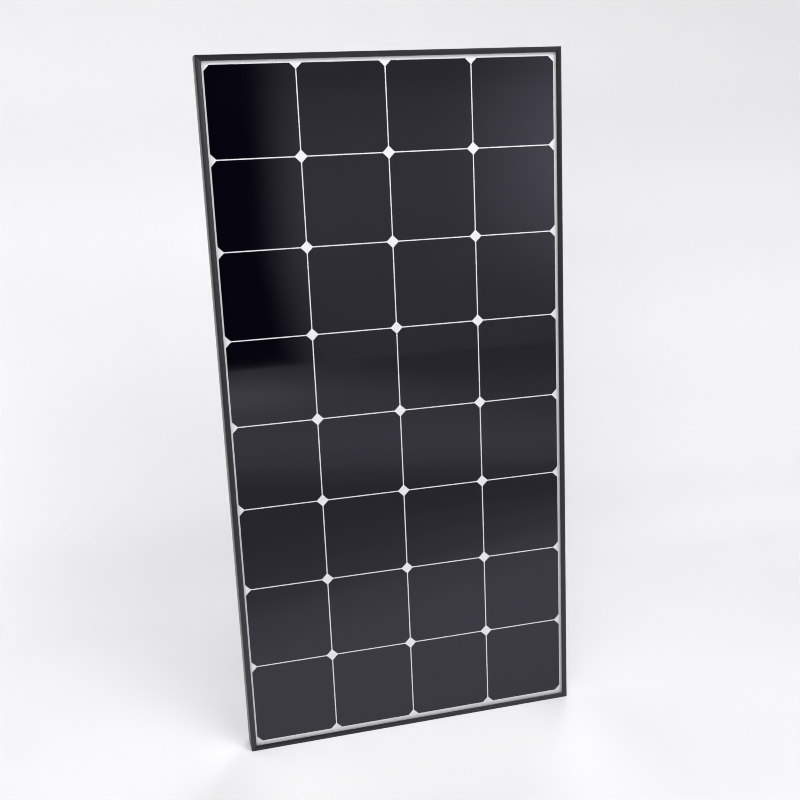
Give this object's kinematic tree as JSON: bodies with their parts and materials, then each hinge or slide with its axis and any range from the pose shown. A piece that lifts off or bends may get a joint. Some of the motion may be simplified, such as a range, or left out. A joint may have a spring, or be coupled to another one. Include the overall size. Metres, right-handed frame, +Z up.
{
  "type": "solar panel",
  "caption": "Rectangular framed solar panel: back-contact cells under glass in a slim mitred frame, with a rear junction box that has a hinged lid and cable glands.",
  "frame": {"origin": "centre of the panel's footprint, on the bottom face of the bottom rail", "axes": "+X to the right seen from the front, +Y from the glass towards the back, +Z up the panel's height"},
  "size_m": [0.528, 0.035, 1.04],
  "materials": {
    "frame_black": "satin",
    "bare_aluminium": "satin",
    "seal_black": "matte",
    "solar_glass": "polished",
    "encapsulant_clear": "gloss",
    "encapsulant_white": "matte",
    "backsheet_white": "satin",
    "silicon_cell": "satin",
    "tinned_copper": "satin",
    "silicone_white": "satin",
    "box_plastic": "matte",
    "nut_plastic": "satin",
    "gasket_rubber": "matte",
    "terminal_metal": "satin",
    "screw_steel": "satin",
    "diode_epoxy": "satin",
    "label_film": "satin"
  },
  "bodies": {
    "panel": {"frame_rail_left": "frame_black", "frame_rail_right": "frame_black", "frame_rail_top": "frame_black", "frame_rail_bottom": "frame_black", "corner_key_top_left": "bare_aluminium", "corner_key_top_right": "bare_aluminium", "corner_key_bottom_left": "bare_aluminium", "corner_key_bottom_right": "bare_aluminium", "laminate_seal": "seal_black", "front_glass": "solar_glass", "front_encapsulant": "encapsulant_clear", "rear_encapsulant": "encapsulant_white", "backsheet": "backsheet_white", "cell_interconnects": "tinned_copper", "bus_ribbons": "tinned_copper", "ribbon_leads": "tinned_copper", "box_adhesive": "silicone_white", "junction_box_base": "box_plastic", "lid_gasket": "gasket_rubber", "output_terminals": "terminal_metal", "terminal_screws": "screw_steel", "bypass_diode_left": "diode_epoxy", "bypass_diode_right": "diode_epoxy", "gland_nuts": "nut_plastic", "gland_seals": "gasket_rubber", "rating_label": "label_film", "cell_1_1": "silicon_cell", "cell_1_2": "silicon_cell", "cell_1_3": "silicon_cell", "cell_1_4": "silicon_cell", "cell_2_1": "silicon_cell", "cell_2_2": "silicon_cell", "cell_2_3": "silicon_cell", "cell_2_4": "silicon_cell", "cell_3_1": "silicon_cell", "cell_3_2": "silicon_cell", "cell_3_3": "silicon_cell", "cell_3_4": "silicon_cell", "cell_4_1": "silicon_cell", "cell_4_2": "silicon_cell", "cell_4_3": "silicon_cell", "cell_4_4": "silicon_cell", "cell_5_1": "silicon_cell", "cell_5_2": "silicon_cell", "cell_5_3": "silicon_cell", "cell_5_4": "silicon_cell", "cell_6_1": "silicon_cell", "cell_6_2": "silicon_cell", "cell_6_3": "silicon_cell", "cell_6_4": "silicon_cell", "cell_7_1": "silicon_cell", "cell_7_2": "silicon_cell", "cell_7_3": "silicon_cell", "cell_7_4": "silicon_cell", "cell_8_1": "silicon_cell", "cell_8_2": "silicon_cell", "cell_8_3": "silicon_cell", "cell_8_4": "silicon_cell"},
    "box_lid": {"junction_box_lid": "box_plastic"}
  },
  "joints": [
    {"name": "jb_lid_hinge", "type": "hinge", "parent": "panel", "child": "box_lid", "pos_m": [0, 0.0084, 1.0034], "axis": [1, 0, 0], "range_deg": [0, 110]}
  ]
}
